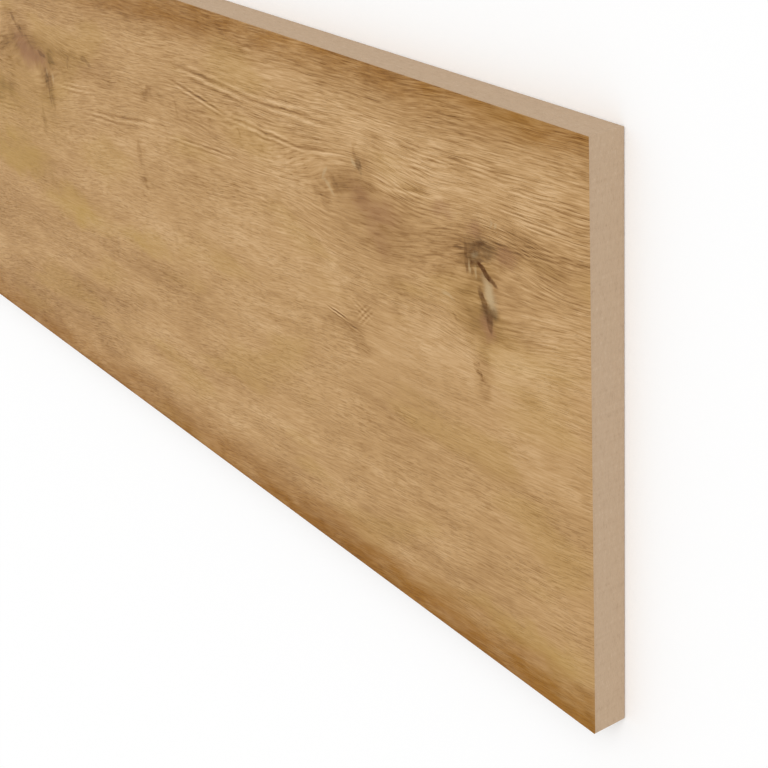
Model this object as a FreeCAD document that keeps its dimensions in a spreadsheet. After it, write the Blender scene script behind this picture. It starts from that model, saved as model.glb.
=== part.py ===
import FreeCAD, Part
import os
import Sketcher

# Stair riser board, lying on its back with its decor face up.
# A fibreboard panel carries a wood-decor laminate on its show face. The two are bonded first and
# sawn to size together, so the long edges and the ends of both pieces are flush.
# Millimetres. +X runs along the board, +Y up the riser as it is fitted, +Z out of the decor face.
# The origin is on the floor, under the middle of the board.

DRIVING_SIZES = {
    "board_length": 1200.0,  # sold length, cut down on site to the width of the stair
    "riser_height": 180.0,  # from the lower tread to the underside of the upper one
    "core_thickness": 11.7,  # fibreboard, the rest of a 12 mm board
    "decor_thickness": 0.3,  # laminate on the show face
    "back_arris": 0.4,  # sharp sawn edges of the back, broken by one pass of sandpaper
}

PARTS_FOLDER = "parts"
SHEET_NAME = "sizes"
FLOOR = 0.0
TOLERANCE = 1e-6


def size_sheet(document):
    """Puts each driving size in a cell of its own, under an alias that the features refer to."""
    sheet = document.addObject("Spreadsheet::Sheet", SHEET_NAME)
    for row, (alias, value) in enumerate(DRIVING_SIZES.items(), start=1):
        sheet.set(f"A{row}", alias)
        sheet.set(f"B{row}", str(value))
        sheet.setAlias(f"B{row}", alias)
    return sheet


def piece_body(document, label):
    """Starts one piece of the board, placed at the origin until it is bound elsewhere."""
    body = document.addObject("PartDesign::Body", label)
    body.Label = label
    body.Placement = FreeCAD.Placement()
    return body


def sawn_outline(body):
    """Draws the sawn rectangle on the body's own XY plane, centred on its origin."""
    sketch = body.newObject("Sketcher::SketchObject", f"{body.Name}_outline")
    plane = next(feature for feature in body.Origin.OriginFeatures if feature.Role == "XY_Plane")
    sketch.AttachmentSupport = [(plane, "")]
    sketch.MapMode = "FlatFace"

    half_length = DRIVING_SIZES["board_length"] / 2
    half_height = DRIVING_SIZES["riser_height"] / 2
    corners = [
        FreeCAD.Vector(-half_length, -half_height, 0),
        FreeCAD.Vector(half_length, -half_height, 0),
        FreeCAD.Vector(half_length, half_height, 0),
        FreeCAD.Vector(-half_length, half_height, 0),
    ]
    for start, end in zip(corners, corners[1:] + corners[:1]):
        sketch.addGeometry(Part.LineSegment(start, end), False)

    bottom, right, top, left = range(4)
    first, last = 1, 2
    sketch_origin = (-1, 1)
    for side, following in ((bottom, right), (right, top), (top, left), (left, bottom)):
        sketch.addConstraint(Sketcher.Constraint("Coincident", side, last, following, first))
    for side in (bottom, top):
        sketch.addConstraint(Sketcher.Constraint("Horizontal", side))
    for side in (right, left):
        sketch.addConstraint(Sketcher.Constraint("Vertical", side))
    sketch.addConstraint(Sketcher.Constraint("Symmetric", bottom, first, top, first, *sketch_origin))

    dimensions = (
        ("length", "DistanceX", bottom, "board_length"),
        ("height", "DistanceY", right, "riser_height"),
    )
    for name, kind, side, alias in dimensions:
        constraint = Sketcher.Constraint(kind, side, first, side, last, DRIVING_SIZES[alias])
        index = sketch.addConstraint(constraint)
        sketch.renameConstraint(index, name)
        sketch.setExpression(f"Constraints.{name}", f"{SHEET_NAME}.{alias}")
    return sketch


def panel(body, thickness_alias):
    """Raises the sawn outline to the thickness of this piece."""
    pad = body.newObject("PartDesign::Pad", f"{body.Name}_panel")
    pad.Profile = sawn_outline(body)
    pad.setExpression("Length", f"{SHEET_NAME}.{thickness_alias}")
    return pad


def core_board(document):
    """The fibreboard panel. Its back lies on the floor, and the four edges of the back are broken."""
    body = piece_body(document, "core_board")
    pad = panel(body, "core_thickness")
    document.recompute()

    back_edges = [
        f"Edge{number}"
        for number, edge in enumerate(pad.Shape.Edges, start=1)
        if edge.BoundBox.ZMax < FLOOR + TOLERANCE
    ]
    arris = body.newObject("PartDesign::Chamfer", "core_board_back_arris")
    arris.Base = (pad, back_edges)
    arris.setExpression("Size", f"{SHEET_NAME}.back_arris")
    return body


def decor_laminate(document):
    """The printed laminate, bonded to the whole front face of the core and sawn flush with it."""
    body = piece_body(document, "decor_laminate")
    panel(body, "decor_thickness")
    body.setExpression("Placement.Base.z", f"{SHEET_NAME}.core_thickness")
    return body


def check(document, pieces):
    """Stops before anything is written if a feature failed or a piece is not one valid solid."""
    for item in document.Objects:
        if "Invalid" in item.State or "Error" in item.State:
            raise RuntimeError(f"{item.Label} did not compute: {item.State}")
    for piece in pieces:
        if piece.Shape.isNull() or not piece.Shape.isValid() or len(piece.Shape.Solids) != 1:
            raise RuntimeError(f"{piece.Label} is not one valid solid")


board = FreeCAD.newDocument("stair_riser_board")
size_sheet(board)
board.recompute()
board_pieces = [core_board(board), decor_laminate(board)]
board.recompute()
check(board, board_pieces)

os.makedirs(PARTS_FOLDER, exist_ok=True)
for board_piece in board_pieces:
    board_piece.Shape.exportStep(f"{PARTS_FOLDER}/{board_piece.Label}.step")
    box = board_piece.Shape.BoundBox
    volume = board_piece.Shape.Volume
    print(f"{board_piece.Label}: x {box.XMin:.2f} to {box.XMax:.2f}, y {box.YMin:.2f} to {box.YMax:.2f},",
          f"z {box.ZMin:.2f} to {box.ZMax:.2f}, volume {volume:.1f}")
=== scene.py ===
import functools
import math
import operator
from collections import namedtuple

import bpy
from mathutils import Matrix, Vector


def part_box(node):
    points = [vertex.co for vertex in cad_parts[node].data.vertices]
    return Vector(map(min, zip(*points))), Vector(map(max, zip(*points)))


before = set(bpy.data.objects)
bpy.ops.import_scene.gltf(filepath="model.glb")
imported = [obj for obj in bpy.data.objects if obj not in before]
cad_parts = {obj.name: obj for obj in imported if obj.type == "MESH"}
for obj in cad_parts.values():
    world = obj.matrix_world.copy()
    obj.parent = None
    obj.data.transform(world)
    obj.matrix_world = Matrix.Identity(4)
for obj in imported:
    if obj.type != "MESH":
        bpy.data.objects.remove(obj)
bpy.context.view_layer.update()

# Core board
# A panel of medium-density fibreboard: wood fibres and resin, pressed flat and sawn to size.
# Its edges and ends are the bare saw cut, and its back is the sanded skin of the panel.
MILLIMETRES = 1000.0


def screen(red, green, blue):
    """The linear colour that a screen shows as these values from 0 to 255, by the sRGB curve."""
    shares = [value / 255 for value in (red, green, blue)]
    linear = [share / 12.92 if share <= 0.04045 else ((share + 0.055) / 1.055) ** 2.4 for share in shares]
    return linear + [1.0]


class Field:
    """A value that varies over a surface: arithmetic on it adds the node that works the result out."""

    def __init__(self, tree, socket):
        self.tree = tree
        self.socket = socket

    def math(self, operation, *others):
        """The result of a math node's operation on this field and the others."""
        node = self.tree.nodes.new("ShaderNodeMath")
        node.operation = operation
        for entry, value in zip(node.inputs, (self, *others)):
            feed(value, entry)
        return Field(self.tree, node.outputs["Value"])

    def __add__(self, other):
        return self.math("ADD", other)

    def __sub__(self, other):
        return self.math("SUBTRACT", other)

    def __mul__(self, other):
        return self.math("MULTIPLY", other)

    def rise(self, low, high, top=1.0):
        """0 up to low, top from high on, and a smooth step between them."""
        node = self.tree.nodes.new("ShaderNodeMapRange")
        node.interpolation_type = "SMOOTHSTEP"
        feed(self, node.inputs["Value"])
        node.inputs["From Min"].default_value = low
        node.inputs["From Max"].default_value = high
        node.inputs["To Max"].default_value = top
        return Field(self.tree, node.outputs["Result"])

    def fall(self, low, high):
        """1 up to low, 0 from high on, and a smooth step between them."""
        return self.rise(low, high) * -1.0 + 1.0


def feed(value, entry):
    """Joins a field to a node's entry, or writes a plain value there."""
    if isinstance(value, Field):
        value.tree.links.new(value.socket, entry)
    else:
        entry.default_value = value


def parts_of(place):
    """The three coordinates of a place, as fields."""
    node = place.tree.nodes.new("ShaderNodeSeparateXYZ")
    feed(place, node.inputs["Vector"])
    return [Field(place.tree, output) for output in node.outputs]


def place_of(tree, *coordinates):
    """The place with these coordinates, each a field or a plain number."""
    node = tree.nodes.new("ShaderNodeCombineXYZ")
    for entry, value in zip(node.inputs, coordinates):
        feed(value, entry)
    return Field(tree, node.outputs["Vector"])


def millimetre_place(tree, corner):
    """The place on the piece in millimetres, counted from a corner given in metres."""
    coordinates = tree.nodes.new("ShaderNodeTexCoord")
    mapping = tree.nodes.new("ShaderNodeMapping")
    mapping.inputs["Location"].default_value = [-MILLIMETRES * value for value in corner]
    mapping.inputs["Scale"].default_value = [MILLIMETRES] * 3
    tree.links.new(coordinates.outputs["Object"], mapping.inputs["Vector"])
    return Field(tree, mapping.outputs["Vector"])


def noise(place, *wavelengths, detail=2.0, dimensions="3D"):
    """Soft noise from 0 to 1 whose waves are that long along each axis, in the place's own units."""
    stretch = place.tree.nodes.new("ShaderNodeMapping")
    stretch.inputs["Scale"].default_value = [1.0 / wavelength for wavelength in wavelengths]
    feed(place, stretch.inputs["Vector"])
    node = place.tree.nodes.new("ShaderNodeTexNoise")
    node.noise_dimensions = dimensions
    feed(Field(place.tree, stretch.outputs["Vector"]), node.inputs["Vector"])
    node.inputs["Scale"].default_value = 1.0
    node.inputs["Detail"].default_value = detail
    return Field(place.tree, node.outputs["Fac"])


def blend(first, second, share, way="MIX"):
    """The first colour turning into the second, or stained with it, as share goes from 0 to 1."""
    node = share.tree.nodes.new("ShaderNodeMix")
    node.data_type = "RGBA"
    node.blend_type = way
    entries = {entry.identifier: entry for entry in node.inputs}
    feed(share, entries["Factor_Float"])
    feed(first, entries["A_Color"])
    feed(second, entries["B_Color"])
    result = next(output for output in node.outputs if output.identifier == "Result_Color")
    return Field(share.tree, result)


def relief(height, depth):
    """The surface's normal with height, from 0 to 1, raised by depth in metres."""
    node = height.tree.nodes.new("ShaderNodeBump")
    node.inputs["Distance"].default_value = depth
    feed(height, node.inputs["Height"])
    return Field(height.tree, node.outputs["Normal"])


def new_finish(name):
    """A new material and its shader."""
    material = bpy.data.materials.new(name)
    material.use_nodes = True
    return material, material.node_tree.nodes["Principled BSDF"]


def dress(node_name, material):
    """Gives a piece from the frame its finish."""
    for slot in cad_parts[node_name].material_slots:
        slot.material = material


FIBREBOARD = screen(189, 163, 135)
FIBREBOARD_DARK = screen(166, 139, 112)
FIBREBOARD_PALE = screen(204, 180, 153)
CORE_LOW, CORE_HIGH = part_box("core_board")
CORE_THICKNESS = (CORE_HIGH.z - CORE_LOW.z) * MILLIMETRES
PRESSED_SKIN = 1.4  # millimetres of denser, darker board under each face
SKIN_DARKNESS = 0.12
CLUMP_WAVES = (3.2, 3.2, 0.9)  # millimetres along the board, up it and through it, as in the next two
FIBRE_WAVES = (1.1, 1.1, 0.22)
SAW_MARK_WAVES = (0.9, 0.9, 40.0)
CLUMP_AMOUNT = 0.55
FIBRE_AMOUNT = 0.5
SAW_MARK_AMOUNT = 0.25
NOISE_MIDDLE = 0.5
FULL_TONE = 0.4  # how far from its middle the tone is where the board is at its palest or darkest
CORE_ROUGHNESS = 0.85
CORE_SPECULAR = 0.2
FIBRE_RELIEF = 0.00012  # metres

fibreboard, fibreboard_shader = new_finish("sawn_fibreboard")
core_place = millimetre_place(fibreboard.node_tree, CORE_LOW)
core_depth = parts_of(core_place)[2]
clumps = noise(core_place, *CLUMP_WAVES, detail=3.0) - NOISE_MIDDLE
fibres = noise(core_place, *FIBRE_WAVES, detail=2.0)
saw_marks = noise(core_place, *SAW_MARK_WAVES, detail=1.0) - NOISE_MIDDLE
skin = core_depth.fall(0.0, PRESSED_SKIN) + core_depth.rise(CORE_THICKNESS - PRESSED_SKIN, CORE_THICKNESS)
fibre_tone = clumps * CLUMP_AMOUNT + (fibres - NOISE_MIDDLE) * FIBRE_AMOUNT + saw_marks * SAW_MARK_AMOUNT
core_colour = blend(FIBREBOARD, FIBREBOARD_PALE, fibre_tone.rise(0.0, FULL_TONE))
core_colour = blend(core_colour, FIBREBOARD_DARK, fibre_tone.fall(-FULL_TONE, 0.0) + skin * SKIN_DARKNESS)
feed(core_colour, fibreboard_shader.inputs["Base Color"])
fibreboard_shader.inputs["Roughness"].default_value = CORE_ROUGHNESS
fibreboard_shader.inputs["Specular IOR Level"].default_value = CORE_SPECULAR
feed(relief(fibres, FIBRE_RELIEF), fibreboard_shader.inputs["Normal"])
dress("core_board", fibreboard)

# Decor laminate
# A thin laminate printed with flat-sawn oak, bonded to the front of the core and sawn flush with it.
# The print holds the grain, the knots and the darker long edges, and its pores are lightly embossed.
OAK_TONES = (
    (0.0, screen(62, 44, 28)),
    (0.2, screen(112, 79, 44)),
    (0.45, screen(157, 118, 73)),
    (0.7, screen(189, 150, 102)),
    (1.0, screen(219, 183, 138)),
)
MIDDLE_TONE = 0.68
OAK_YELLOW = screen(180, 144, 76)
OAK_RUDDY = screen(152, 108, 78)
BARE_WOOD = screen(192, 166, 126)
KNOT_BROWN = screen(70, 46, 20)
CRACK_BROWN = screen(86, 50, 16)
EDGE_STAIN = (0.58, 0.42, 0.16, 1.0)  # by which the colour is multiplied along the long edges

DECOR_LOW, DECOR_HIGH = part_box("decor_laminate")
RISER_HEIGHT = (DECOR_HIGH.y - DECOR_LOW.y) * MILLIMETRES
GRAIN_TILT = 0.075  # rise of the grain for each millimetre to the right, at the bottom edge
TILT_LOSS = 0.03  # by which it is less at the top edge
FINE_TILT = 0.07  # by which the finest lines rise more at the bottom edge, and at the top edge not at all
REPEAT_LENGTH = 490.0  # the knots of the print come again, turned over, after this many millimetres
REPEAT_MARGIN = 40.0  # of which this much lies beyond the right end
REPEAT_DROP = 66.0  # each repeat lies this much lower than the one before
REPEAT_ROOM = 108.0  # counted round within this height
SOFT_RIM = 0.8  # share of a mark's half size over which it fades out
SHARP_RIM = 0.45

# A spot of the print: its middle, its half length and half width in millimetres, its turn from the
# board's length in degrees, and how strong it is. Places are counted from the lower right corner.
Mark = namedtuple("Mark", "x y half_length half_width turn strength")

# One figure of the print in its layers: broad brown shade, small brown stains, red-brown wood, bare pale
# wood, dark wood with a soft rim, and dark cracks with a sharp one.
Figure = namedtuple("Figure", "shade stain ruddy pale dark sharp", defaults=((),) * 6)

SPLIT_KNOT = Figure(
    shade=(
        Mark(-47.0, 126.0, 24.0, 11.0, 90, 0.14),
        Mark(-62.0, 131.0, 26.0, 12.0, 15, 0.12),
        Mark(-27.0, 142.6, 24.0, 7.0, 5, 0.2),
        Mark(-4.0, 145.5, 20.0, 5.0, 6, 0.06),
        Mark(-44.0, 111.0, 12.0, 8.0, 0, 0.16),
        Mark(-55.0, 117.0, 9.0, 9.0, 0, 0.12),
        Mark(-37.0, 117.0, 6.0, 7.0, 80, 0.12),
        Mark(-47.0, 100.0, 12.0, 6.0, 88, 0.18),
    ),
    stain=(
        Mark(-59.1, 113.5, 2.6, 1.5, -20, 0.13),
        Mark(-49.1, 101.3, 2.0, 1.3, 0, 0.24),
        Mark(-48.7, 98.4, 2.4, 1.4, -30, 0.24),
        Mark(-46.6, 97.8, 3.0, 1.0, 10, 0.15),
    ),
    ruddy=(
        Mark(-43.5, 114.6, 7.0, 5.0, 90, 0.6),
        Mark(-48.0, 143.0, 6.0, 3.6, 0, 0.4),
        Mark(-34.0, 138.5, 7.0, 3.4, 8, 0.4),
        Mark(-63.0, 144.5, 8.0, 3.5, 6, 0.3),
        Mark(-44.4, 129.0, 5.0, 2.8, -62, 0.2),
    ),
    pale=(
        Mark(-42.2, 125.0, 7.6, 3.4, -63, 0.85),
        Mark(-47.9, 135.4, 2.4, 1.3, 10, 0.55),
        Mark(-51.3, 131.2, 3.0, 0.9, 86, 0.5),
        Mark(-48.4, 130.0, 2.6, 0.9, 80, 0.45),
        Mark(-40.6, 146.2, 2.2, 0.8, 70, 0.45),
        Mark(-38.4, 146.6, 2.2, 0.8, 70, 0.45),
        Mark(-62.3, 118.7, 4.6, 0.9, -6, 0.45),
    ),
    dark=(
        Mark(-45.2, 137.6, 9.5, 5.6, 13, 0.46),
        Mark(-49.0, 133.6, 5.4, 3.4, 15, 0.22),
        Mark(-42.4, 119.2, 6.2, 4.8, 15, 0.58),
    ),
    sharp=(
        Mark(-45.6, 139.4, 5.0, 1.2, 20, 0.3),
        Mark(-48.6, 136.4, 3.6, 0.9, 10, 0.4),
        Mark(-47.0, 133.4, 4.4, 1.2, 14, 0.45),
        Mark(-52.4, 133.6, 6.0, 1.1, 87, 0.38),
        Mark(-50.1, 131.4, 4.0, 0.8, 84, 0.32),
        Mark(-43.1, 130.6, 6.2, 1.35, -35, 0.82),
        Mark(-45.2, 122.6, 5.0, 1.6, -62, 0.62),
        Mark(-42.4, 115.8, 3.6, 1.9, 85, 0.48),
    ),
)
DIFFUSE_KNOT = Figure(
    shade=(
        Mark(-104.0, 134.0, 36.0, 21.0, -14, 0.05),
        Mark(-98.0, 130.0, 22.0, 12.0, -25, 0.03),
        Mark(-113.0, 140.0, 16.0, 9.0, 10, 0.13),
        Mark(-84.0, 122.0, 24.0, 12.0, -25, 0.05),
        Mark(-107.0, 97.0, 10.0, 7.0, 0, 0.06),
        Mark(-98.0, 150.5, 13.0, 9.0, 40, 0.11),
        Mark(-128.0, 130.0, 8.0, 3.6, -20, 0.14),
    ),
    stain=(
        Mark(-106.2, 151.8, 4.0, 1.6, 80, 0.12),
        Mark(-120.3, 138.6, 6.4, 3.0, -40, 0.12),
        Mark(-127.0, 135.6, 6.0, 1.8, -32, 0.12),
        Mark(-112.0, 139.0, 7.0, 2.6, 15, 0.05),
        Mark(-100.0, 142.0, 6.0, 2.0, 5, 0.07),
        Mark(-91.0, 129.0, 6.0, 2.6, -10, 0.03),
        Mark(-104.0, 124.0, 7.0, 2.6, 30, 0.04),
        Mark(-88.5, 114.2, 7.0, 4.0, -10, 0.12),
        Mark(-117.0, 91.2, 11.0, 2.2, -16, 0.08),
        Mark(-89.5, 106.0, 7.0, 2.6, 84, 0.07),
    ),
    ruddy=(
        Mark(-103.0, 136.0, 11.0, 7.0, -20, 0.3),
        Mark(-92.0, 135.0, 11.0, 6.0, 10, 0.3),
        Mark(-97.0, 126.0, 10.0, 6.0, -30, 0.18),
    ),
    pale=(
        Mark(-108.2, 147.7, 2.4, 1.1, -50, 0.5),
        Mark(-124.9, 140.3, 3.8, 1.1, 56, 0.5),
        Mark(-122.9, 136.2, 5.2, 1.1, -32, 0.45),
    ),
    dark=(
        Mark(-105.6, 147.3, 3.4, 2.1, -45, 0.5),
    ),
)
FORKED_KNOT = Figure(
    shade=(
        Mark(-352.0, 139.0, 34.0, 14.0, -8, 0.18),
        Mark(-380.0, 136.0, 12.0, 5.0, 6, 0.16),
        Mark(-388.0, 115.5, 26.0, 7.0, 6, 0.28),
        Mark(-337.0, 122.0, 17.0, 8.0, 86, 0.12),
        Mark(-318.0, 138.0, 34.0, 10.0, 6, 0.12),
    ),
    stain=(
        Mark(-360.6, 145.8, 7.5, 2.4, -42, 0.18),
        Mark(-331.0, 137.0, 6.5, 3.8, -70, 0.18),
        Mark(-313.0, 142.8, 13.0, 2.0, 8, 0.08),
        Mark(-347.5, 109.0, 8.0, 3.6, 85, 0.2),
        Mark(-339.0, 128.5, 8.0, 2.8, 85, 0.17),
        Mark(-334.5, 123.0, 11.0, 2.8, 88, 0.17),
    ),
    ruddy=(
        Mark(-357.0, 136.5, 14.0, 9.0, -25, 0.6),
        Mark(-343.0, 136.5, 12.0, 5.5, 5, 0.5),
    ),
    pale=(
        Mark(-331.5, 129.6, 2.8, 1.3, 80, 0.4),
        Mark(-337.0, 131.5, 2.6, 0.8, 84, 0.4),
    ),
    sharp=(
        Mark(-365.0, 149.4, 2.6, 1.6, 0, 0.35),
        Mark(-352.5, 142.0, 4.2, 1.5, -40, 0.15),
        Mark(-340.0, 138.2, 5.0, 1.3, -10, 0.4),
        Mark(-314.0, 139.5, 3.8, 1.4, 60, 0.25),
        Mark(-337.0, 124.0, 9.0, 1.0, 86, 0.3),
        Mark(-296.0, 143.0, 6.5, 1.4, -10, 0.3),
    ),
)
SMALL_MARKS = Figure(
    shade=(
        Mark(-250.0, 138.0, 20.0, 9.0, 0, 0.05),
        Mark(-257.0, 110.0, 18.0, 5.0, 86, 0.05),
    ),
    stain=(
        Mark(-247.0, 139.5, 6.5, 4.0, 30, 0.16),
        Mark(-244.0, 143.0, 5.0, 1.8, 30, 0.13),
        Mark(-258.0, 116.5, 6.0, 3.0, 85, 0.1),
        Mark(-255.5, 104.4, 5.0, 3.0, 85, 0.12),
        Mark(-222.6, 139.6, 3.6, 1.6, -80, 0.1),
        Mark(-197.0, 140.4, 3.6, 1.8, 10, 0.12),
        Mark(-177.5, 141.4, 3.6, 1.6, -60, 0.11),
        Mark(-203.0, 106.7, 3.5, 1.7, 10, 0.08),
    ),
)
FIGURES = (SPLIT_KNOT, DIFFUSE_KNOT, FORKED_KNOT, SMALL_MARKS)

# Broad darker and, below zero, paler parts: partly the print's own clouds, and partly painted shade that
# darkens the left end and the bottom as if the light fell off there. Then the print's yellow parts
PRINT_CLOUDS_AND_PAINTED_SHADE = (
    Mark(-62.0, 102.0, 55.0, 13.0, 4, -0.1),
    Mark(-60.0, 61.0, 70.0, 16.0, 4, 0.08),
    Mark(-255.0, 62.0, 75.0, 14.0, 4, 0.1),
    Mark(-115.0, 157.0, 75.0, 9.0, 2, -0.08),
    Mark(-280.0, 119.0, 40.0, 11.0, 5, 0.08),
    Mark(-410.0, 95.0, 90.0, 95.0, 0, 0.06),
    Mark(-345.0, 135.0, 60.0, 40.0, 0, 0.06),
    Mark(-345.0, 84.0, 65.0, 14.0, 5, 0.1),
    Mark(-345.0, 25.0, 105.0, 23.0, 4, 0.11),
    Mark(-185.0, 104.0, 85.0, 16.0, 3, -0.07),
    Mark(-100.0, 40.0, 26.0, 9.0, 4, -0.09),
    Mark(-95.0, 22.0, 45.0, 10.0, 4, 0.09),
    Mark(-15.0, 46.0, 30.0, 14.0, 0, 0.08),
    Mark(-15.0, 108.0, 30.0, 13.0, 4, -0.08),
    Mark(-258.0, 165.0, 45.0, 11.0, 2, 0.07),
    Mark(-410.0, 46.0, 45.0, 14.0, 4, 0.09),
    Mark(-312.0, 21.0, 34.0, 11.0, 4, 0.08),
    Mark(-120.0, 91.0, 20.0, 7.0, -6, 0.17),
    Mark(-135.0, 50.0, 28.0, 11.0, 4, 0.06),
    Mark(-50.0, 29.0, 45.0, 9.0, 4, 0.07),
    Mark(-76.0, 152.0, 46.0, 11.0, 4, -0.12),
    Mark(-14.0, 160.0, 34.0, 8.0, 2, -0.08),
    Mark(-12.0, 124.0, 28.0, 13.0, 4, -0.07),
    Mark(-230.0, 140.0, 60.0, 18.0, 0, -0.04),
    Mark(-88.0, 95.0, 40.0, 14.0, 4, -0.05),
    Mark(-185.0, 84.0, 65.0, 11.0, 4, -0.05),
    Mark(-27.0, 106.0, 20.0, 12.0, 4, -0.1),
    Mark(-73.0, 107.0, 12.0, 6.0, 2, -0.13),
    Mark(-120.0, 106.0, 16.0, 6.0, 2, -0.12),
    Mark(-121.0, 149.0, 12.0, 5.0, 0, -0.08),
    Mark(-351.0, 127.0, 12.0, 7.0, 0, -0.12),
    Mark(-376.0, 147.0, 12.0, 7.0, 0, -0.16),
    Mark(-304.0, 105.0, 34.0, 7.0, 4, -0.09),
)
YELLOW_MARKS = (
    Mark(-385.0, 84.0, 48.0, 13.0, 6, 0.6),
    Mark(-330.0, 76.0, 42.0, 11.0, 6, 0.5),
    Mark(-262.0, 78.0, 28.0, 9.0, 6, 0.35),
    Mark(-30.0, 17.0, 55.0, 8.0, 4, 0.4),
    Mark(-360.0, 116.0, 60.0, 32.0, 0, 0.22),
)

# Where the grain is calm
CALM_MARKS = (
    Mark(-106.0, 134.0, 40.0, 22.0, -14, 0.6),
    Mark(-84.0, 84.0, 36.0, 17.0, 4, 0.5),
    Mark(-356.0, 137.0, 44.0, 18.0, 0, 0.5),
)

# A bundle of growth lines: its middle, its half length and half width in millimetres, its turn in
# degrees, the number of lines across it, and how dark they are.
Bundle = namedtuple("Bundle", "x y half_length half_width turn lines strength")
BUNDLES = (
    Bundle(-192.0, 155.1, 34.0, 4.4, -2, 3, 0.25),
    Bundle(-144.0, 155.2, 38.0, 4.4, 2, 3, 0.22),
    Bundle(-205.0, 147.6, 28.0, 3.2, -6, 3, 0.25),
    Bundle(-160.0, 144.8, 34.0, 3.2, 0, 3, 0.25),
    Bundle(-127.0, 146.6, 20.0, 2.6, 8, 2, 0.2),
    Bundle(-205.0, 129.8, 42.0, 3.4, 4, 4, 0.15),
    Bundle(-80.0, 154.5, 26.0, 4.2, 6, 5, 0.1),
    Bundle(-78.0, 146.0, 16.0, 2.2, 8, 2, 0.14),
    Bundle(-40.0, 159.6, 46.0, 5.0, 1, 7, 0.1),
    Bundle(-22.0, 152.4, 34.0, 4.6, 2, 7, 0.1),
    Bundle(-20.0, 143.5, 26.0, 4.4, 9, 7, 0.11),
    Bundle(-124.0, 93.0, 9.0, 1.8, -6, 3, 0.38),
    Bundle(-114.0, 90.8, 7.0, 1.6, -8, 2, 0.16),
    Bundle(-107.5, 97.6, 8.0, 4.0, 42, 5, 0.12),
    Bundle(-109.0, 98.6, 8.0, 4.0, -18, 4, 0.12),
    Bundle(-262.0, 127.0, 45.0, 4.0, 7, 3, 0.12),
    Bundle(-312.0, 129.5, 20.0, 3.8, 5, 4, 0.17),
    Bundle(-290.0, 121.5, 24.0, 4.2, 5, 4, 0.15),
    Bundle(-386.0, 107.0, 22.0, 4.0, 6, 4, 0.15),
)

# A place that the grain flows round: its middle, its half length and half width in millimetres, and
# how far it pushes the grain aside.
Bend = namedtuple("Bend", "x y half_length half_width push")
BENDS = (
    Bend(-45.0, 127.0, 44.0, 32.0, 0.5),
    Bend(-104.0, 133.0, 60.0, 32.0, 0.6),
    Bend(-175.0, 142.0, 75.0, 16.0, 0.6),
    Bend(-352.0, 135.0, 70.0, 28.0, 0.75),
)


def fitted(place, x, y, half_length, half_width, turn=0.0):
    """The place as seen from an ellipse: its middle is the origin and its rim is one unit away."""
    fit = place.tree.nodes.new("ShaderNodeMapping")
    fit.vector_type = "TEXTURE"
    fit.inputs["Location"].default_value = (x, y, 0.0)
    fit.inputs["Rotation"].default_value = (0.0, 0.0, math.radians(turn))
    fit.inputs["Scale"].default_value = (half_length, half_width, 1.0)
    feed(place, fit.inputs["Vector"])
    return Field(place.tree, fit.outputs["Vector"])


def cone(place):
    """1 at the origin, falling evenly to 0 one unit away from it."""
    ball = place.tree.nodes.new("ShaderNodeTexGradient")
    ball.gradient_type = "SPHERICAL"
    feed(place, ball.inputs["Vector"])
    return Field(place.tree, ball.outputs["Fac"])


def spots(place, marks, rim=SOFT_RIM):
    """The sum of the marks. Each fades in from its outline, and is whole from rim of the way inwards."""
    shares = [cone(fitted(place, *mark[:5])).rise(0.0, rim, mark.strength) for mark in marks]
    return functools.reduce(operator.add, shares)


def growth_lines(place, bundles, phase):
    """The bundles' lines: a sine wave across each bundle, fading out towards its rim."""
    waves = []
    for bundle in bundles:
        inside = fitted(place, *bundle[:5])
        across = parts_of(inside)[1]
        wave = (across * (bundle.lines * math.pi) + phase).math("SINE")
        waves.append(wave * cone(inside).rise(0.0, SOFT_RIM, bundle.strength))
    return functools.reduce(operator.add, waves)


def layer(name):
    """The marks of that layer in all the figures."""
    return [mark for figure in FIGURES for mark in getattr(figure, name)]


def ramp(field, stops):
    """The colour that a field stands for, between the stops' places and colours."""
    node = field.tree.nodes.new("ShaderNodeValToRGB")
    elements = node.color_ramp.elements
    while len(elements) < len(stops):
        elements.new(1.0)
    for element, (position, colour) in zip(elements, stops):
        element.position = position
        element.color = colour
    feed(field, node.inputs["Fac"])
    return Field(field.tree, node.outputs["Color"])


# A pattern of noise: the length and width of its waves in millimetres, and its octaves past the first
Pattern = namedtuple("Pattern", "length width octaves")


def flat_noise(x, y, pattern):
    """Noise about zero over the flat print, with the pattern's waves along x and across y."""
    waves = (pattern.length, pattern.width, 1.0)
    return noise(place_of(x.tree, x, y, 0.0), *waves, detail=pattern.octaves, dimensions="2D") - NOISE_MIDDLE


oak, oak_shader = new_finish("oak_decor_print")
oak_tree = oak.node_tree
decor_corner = Vector((DECOR_HIGH.x, DECOR_LOW.y, DECOR_HIGH.z))
along, up, _ = parts_of(millimetre_place(oak_tree, decor_corner))

# The knots are laid out once and folded back along the board, each time at another height
from_margin = along * -1.0 + REPEAT_MARGIN
folds = (from_margin * (1.0 / REPEAT_LENGTH)).math("FLOOR")
fold_x = from_margin.math("PINGPONG", REPEAT_LENGTH) * -1.0 + REPEAT_MARGIN
fold_y = up + (folds * REPEAT_DROP).math("MODULO", REPEAT_ROOM)
fold_place = place_of(oak_tree, fold_x, fold_y, 0.0)

# Their outlines stray by a few millimetres: far in the broad shades, and little in cracks and pale wood
STRAYS = Pattern(6.0, 6.0, 3.0)
WIDE_STRAYS = Pattern(20.0, 20.0, 3.0)
WIDE_REACH = 18.0
LOOSE_REACH = 6.0
TIGHT_REACH = 3.2
NOISE_SHIFT = 300.0  # so that a place strays up by another noise than along


def strayed(stray_along, stray_up, reach):
    """The folded place, moved along and up by two noises that are each multiplied by reach."""
    return place_of(oak_tree, fold_x + stray_along * reach, fold_y + stray_up * reach, 0.0)


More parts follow.
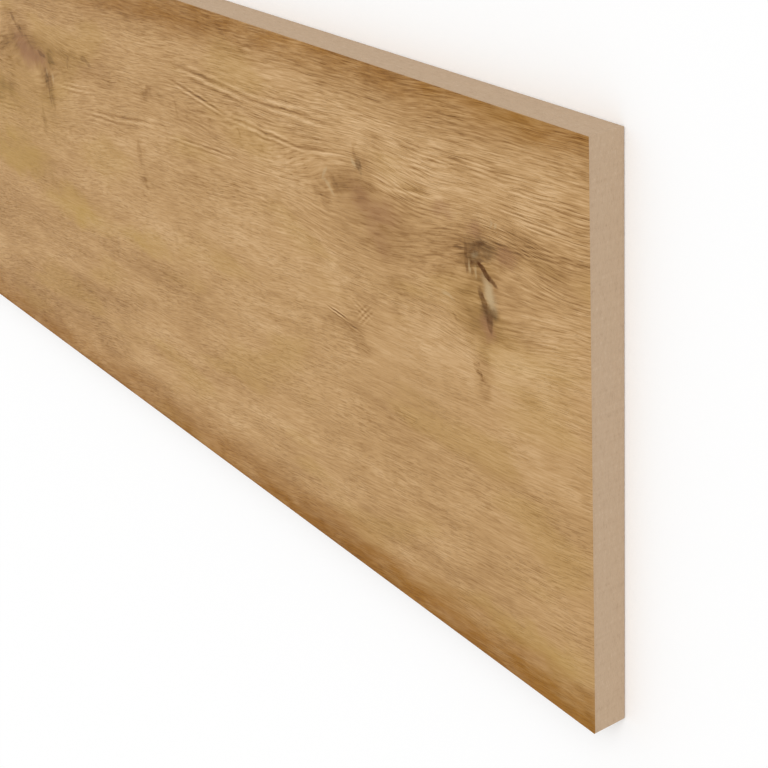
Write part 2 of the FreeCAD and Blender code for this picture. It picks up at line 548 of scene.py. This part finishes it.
stray_x = flat_noise(fold_x, fold_y, STRAYS)
stray_y = flat_noise(fold_x, fold_y + NOISE_SHIFT, STRAYS)
wide_x = flat_noise(fold_x, fold_y, WIDE_STRAYS)
wide_y = flat_noise(fold_x, fold_y + NOISE_SHIFT, WIDE_STRAYS)
wide_place = strayed(wide_x, wide_y, WIDE_REACH)
loose_place = strayed(stray_x, stray_y, LOOSE_REACH)
tight_place = strayed(stray_x, stray_y, TIGHT_REACH)

# The level that each line of the grain keeps to: it rises to the right, sways and flows round the knots
SWAY = Pattern(30.0, 14.0, 2.0)
SWAY_REACH = 1.6
DRIFT = Pattern(150.0, 50.0, 2.0)
DRIFT_REACH = 5.0

sway = flat_noise(along, up, SWAY) * SWAY_REACH
level = up - along * (up * (-TILT_LOSS / RISER_HEIGHT) + GRAIN_TILT)
level = level + flat_noise(along, up, DRIFT) * DRIFT_REACH + sway
for bend in BENDS:
    near = cone(fitted(fold_place, bend.x, bend.y, bend.half_length, bend.half_width)).rise(0.0, 1.0)
    level = level - (fold_y - bend.y) * near * bend.push
fine_level = level - fold_x * (up * (-FINE_TILT / RISER_HEIGHT) + FINE_TILT)

# Where the grain is bold: towards the top edge, more so to the right, and less where it is calm
UPPER_RISE = (85.0, 150.0)
RIGHT_RISE = (-250.0, -110.0)
LEFT_BOLDNESS = 0.45

calm = spots(wide_place, CALM_MARKS) * -1.0 + 1.0
upper = up.rise(*UPPER_RISE)
bold = upper * (along.rise(*RIGHT_RISE) * (1.0 - LEFT_BOLDNESS) + LEFT_BOLDNESS) * calm

# Soft clouds and bands, and fine lines all over
CLOUDS = Pattern(60.0, 18.0, 2.0)
CLOUD_AMOUNT = 0.3
BANDS = Pattern(120.0, 4.0, 3.0)
BAND_AMOUNT = 0.2
LINES = Pattern(10.0, 0.55, 2.0)
LINE_AMOUNT = 0.38
LINE_BOLDNESS = 0.28

clouds = flat_noise(along, level, CLOUDS)
bands = flat_noise(along, level, BANDS)
lines = flat_noise(along, fine_level, LINES)
tone = clouds * CLOUD_AMOUNT + bands * BAND_AMOUNT
tone = tone + lines * (bold * LINE_BOLDNESS + calm * LINE_AMOUNT) + MIDDLE_TONE

# Long thin cuts, in patches: dark where a noise passes through zero
CUTS = Pattern(40.0, 1.0, 1.0)
CUT_PATCHES = Pattern(30.0, 8.0, 2.0)
PATCH_RISE = (-0.15, 0.1)
CUT_WIDTH = 0.085
CUT_DEPTH = 0.85  # the wood between the cuts is paler by the rest of 1
CUT_AMOUNT = 0.03
CUT_BOLDNESS = 0.17

cut_patches = flat_noise(along, level, CUT_PATCHES).rise(*PATCH_RISE)
cut_waves = flat_noise(along, fine_level, CUTS).math("ABSOLUTE")
cuts = (cut_waves.rise(0.0, CUT_WIDTH) - CUT_DEPTH) * cut_patches
tone = tone + cuts * (bold * CUT_BOLDNESS + CUT_AMOUNT)

# Short strokes, stronger in patches and towards the bottom edge
STROKES = Pattern(4.5, 0.45, 1.0)
STROKE_PATCHES = Pattern(28.0, 12.0, 2.0)
STROKE_RISE = (0.0, 0.16)
STROKE_LIFT = 0.35  # by which the wood between the strokes is paler
STROKE_LEAST = 0.4
STROKE_AMOUNT = 0.12
STROKE_LOSS = 0.04

stroke_patches = flat_noise(along, level, STROKE_PATCHES).rise(*PATCH_RISE)
stroke_patches = stroke_patches * (1.0 - STROKE_LEAST) + STROKE_LEAST
stroke_waves = flat_noise(along, fine_level, STROKES)
strokes = (stroke_waves.rise(*STROKE_RISE) * -1.0 + STROKE_LIFT) * stroke_patches
tone = tone + strokes * (upper * -STROKE_LOSS + STROKE_AMOUNT) * calm

# Dark pores, in patches
PORES = Pattern(7.0, 0.3, 1.0)
PORE_RISE = (0.08, 0.18)
PORE_PATCHES = Pattern(40.0, 5.0, 2.0)
PORE_PATCH_RISE = (-0.1, 0.15)
PORE_AMOUNT = 0.06
PORE_BOLDNESS = 0.12

pore_patches = flat_noise(along, level, PORE_PATCHES).rise(*PORE_PATCH_RISE)
pores = flat_noise(along, fine_level, PORES).rise(*PORE_RISE) * pore_patches
tone = tone - pores * (bold * PORE_BOLDNESS + PORE_AMOUNT)

# The bundles of growth lines, which sway with the grain
LINE_SWAY = 0.5
LINE_REACH = 0.8
LINE_SHIFTS = Pattern(25.0, 6.0, 2.0)
LINE_SHIFT = 2.5  # radians of the sine wave

line_place = place_of(oak_tree, fold_x, fold_y + sway * LINE_SWAY + stray_y * LINE_REACH, 0.0)
line_phase = flat_noise(along, up, LINE_SHIFTS) * LINE_SHIFT
tone = tone - growth_lines(line_place, BUNDLES, line_phase)

# Broad shades, mottled round the knots, the broad clouds with their painted shade, and small ragged stains
MOTTLING = Pattern(9.0, 6.0, 3.0)
MOTTLE_AMOUNT = 1.6
RAGS = Pattern(3.6, 2.0, 3.0)
RAG_AMOUNT = 1.8

mottle = flat_noise(fold_x, fold_y, MOTTLING) * MOTTLE_AMOUNT + 1.0
ragged = flat_noise(fold_x, fold_y, RAGS) * RAG_AMOUNT + 1.0
# The broad parts also hold painted shade: they darken the print towards the left end and the bottom.
tone = tone - spots(wide_place, layer("shade")) * mottle - spots(wide_place, PRINT_CLOUDS_AND_PAINTED_SHADE)
tone = tone - spots(loose_place, layer("stain")) * ragged

# The colour: the tone's own, then yellow parts and the figures' coloured layers over it
YELLOWS = Pattern(70.0, 22.0, 2.0)
YELLOW_RISE = (0.02, 0.2)
YELLOW_AMOUNT = 0.25

oak_colour = ramp(tone, OAK_TONES)
yellow = flat_noise(along, level, YELLOWS).rise(*YELLOW_RISE) * YELLOW_AMOUNT
oak_colour = blend(oak_colour, OAK_YELLOW, yellow + spots(wide_place, YELLOW_MARKS))
oak_colour = blend(oak_colour, OAK_RUDDY, spots(loose_place, layer("ruddy")))
oak_colour = blend(oak_colour, BARE_WOOD, spots(tight_place, layer("pale")))
oak_colour = blend(oak_colour, KNOT_BROWN, spots(loose_place, layer("dark")) * ragged)
oak_colour = blend(oak_colour, CRACK_BROWN, spots(tight_place, layer("sharp"), SHARP_RIM) * ragged)

# The stain along the long edges: frayed and blotchy, darker to the right below and wider to the left above
FRAYS = Pattern(38.0, 8.0, 3.0)
BLOTCHES = Pattern(16.0, 5.0, 3.0)
BLOTCH_AMOUNT = 1.3
BOTTOM_FADE = (1.0, 22.0)
BOTTOM_FRAY = 12.0
BOTTOM_STAIN = 0.68
BOTTOM_RIGHT_RISE = (-240.0, -120.0)
BOTTOM_RIGHT_STAIN = 0.3
RIM_WIDTH = 1.6
RIM_STAIN = 0.3
TOP_WIDTH = 15.0
TOP_FRAY = 7.0
TOP_STAIN = 0.72
TOP_LEFT_FALL = (-250.0, -150.0)
TOP_LEFT_WIDTH = 5.0

fray = flat_noise(along, level, FRAYS)
blotches = flat_noise(along, level, BLOTCHES) * BLOTCH_AMOUNT + 1.0
bottom_strength = along.rise(*BOTTOM_RIGHT_RISE) * BOTTOM_RIGHT_STAIN + BOTTOM_STAIN
bottom_edge = (up + fray * BOTTOM_FRAY).fall(*BOTTOM_FADE) * bottom_strength
bottom_edge = bottom_edge + up.fall(0.0, RIM_WIDTH) * RIM_STAIN
frayed_up = up + fray * TOP_FRAY + along.fall(*TOP_LEFT_FALL) * TOP_LEFT_WIDTH
top_edge = frayed_up.rise(RISER_HEIGHT - TOP_WIDTH, RISER_HEIGHT) * TOP_STAIN
stained = ((bottom_edge + top_edge) * blotches).math("MINIMUM", 1.0)
oak_colour = blend(oak_colour, EDGE_STAIN, stained, way="MULTIPLY")

# The surface: satin, duller in the pores, with the cuts and strokes lightly pressed in
OAK_ROUGHNESS = 0.55
PORE_ROUGHNESS = 0.15
OAK_SPECULAR = 0.07
CUT_RELIEF = 0.5
PRINT_RELIEF = 0.00006  # metres

feed(oak_colour, oak_shader.inputs["Base Color"])
feed(pores * PORE_ROUGHNESS + OAK_ROUGHNESS, oak_shader.inputs["Roughness"])
oak_shader.inputs["Specular IOR Level"].default_value = OAK_SPECULAR
feed(relief(cuts * CUT_RELIEF + strokes, PRINT_RELIEF), oak_shader.inputs["Normal"])
dress("decor_laminate", oak)

# Floor, light and camera
# A white studio floor that keeps the board's soft shadow, an even white sky and one wide soft lamp.
# The camera looks down on the board from beyond its right end.
FLOOR_HALF = 15.0
SKY_STRENGTH = 0.7
LAMP_DIRECTION = Vector((0.54, 0.54, 0.65))
LAMP_STRENGTH = 1.45
LAMP_SPREAD = math.radians(50.0)
WHITE = (1.0, 1.0, 1.0, 1.0)
FLOOR_GREY = (0.8, 0.8, 0.8, 1.0)


def shown_rays(tree):
    """1 for the rays that show the studio itself: from the camera, mirrored or through glass."""
    rays = tree.nodes.new("ShaderNodeLightPath")
    shown = Field(tree, rays.outputs["Is Camera Ray"])
    for name in ("Is Glossy Ray", "Is Transmission Ray"):
        shown = shown.math("MAXIMUM", Field(tree, rays.outputs[name]))
    return shown


floor_mesh = bpy.data.meshes.new("studio_floor")
floor_corners = [(-FLOOR_HALF, -FLOOR_HALF, 0), (FLOOR_HALF, -FLOOR_HALF, 0),
                 (FLOOR_HALF, FLOOR_HALF, 0), (-FLOOR_HALF, FLOOR_HALF, 0)]
floor_mesh.from_pydata(floor_corners, [], [(0, 1, 2, 3)])
floor = bpy.data.objects.new("studio_floor", floor_mesh)
bpy.context.scene.collection.objects.link(floor)
floor_paint, floor_shader = new_finish("studio_white")
floor_shader.inputs["Roughness"].default_value = 1.0
floor_shader.inputs["Specular IOR Level"].default_value = 0.0
floor_colour = blend(FLOOR_GREY, WHITE, shown_rays(floor_paint.node_tree))
feed(floor_colour, floor_shader.inputs["Base Color"])
floor_mesh.materials.append(floor_paint)

sky = bpy.data.worlds.new("studio_sky")
sky.use_nodes = True
sky_light = sky.node_tree.nodes["Background"]
sky_light.inputs["Color"].default_value = WHITE
sky_strength = shown_rays(sky.node_tree) * (1.0 - SKY_STRENGTH) + SKY_STRENGTH
feed(sky_strength, sky_light.inputs["Strength"])
bpy.context.scene.world = sky

lamp_data = bpy.data.lights.new("soft_lamp", "SUN")
lamp_data.energy = LAMP_STRENGTH
lamp_data.angle = LAMP_SPREAD
lamp = bpy.data.objects.new("soft_lamp", lamp_data)
lamp.rotation_mode = "QUATERNION"
lamp.rotation_quaternion = LAMP_DIRECTION.to_track_quat("Z", "Y")
bpy.context.scene.collection.objects.link(lamp)

FOCAL_PIXELS = 1668.2
IMAGE_PIXELS = 768
SENSOR_WIDTH = 36.0
CAMERA_STAND = Vector((0.29799, 0.30687, 0.25453))  # from the lower right corner of the decor face
CAMERA_AIM = Vector((-0.09934, 0.07658, 0.0))
CAMERA_ROLL = math.radians(-4.09)
camera_data = bpy.data.cameras.new("camera")
camera_data.sensor_width = SENSOR_WIDTH
camera_data.lens = FOCAL_PIXELS / IMAGE_PIXELS * SENSOR_WIDTH
camera = bpy.data.objects.new("camera", camera_data)
backward = (CAMERA_STAND - CAMERA_AIM).normalized()
level_right = Vector((0.0, 1.0, 0.0)).cross(backward).normalized()
facing = Matrix((level_right, backward.cross(level_right), backward)).transposed()
rolled = facing @ Matrix.Rotation(CAMERA_ROLL, 3, "Z")
camera.matrix_world = Matrix.Translation(decor_corner + CAMERA_STAND) @ rolled.to_4x4()
bpy.context.scene.collection.objects.link(camera)
bpy.context.scene.camera = camera
bpy.context.scene.view_settings.view_transform = "Standard"
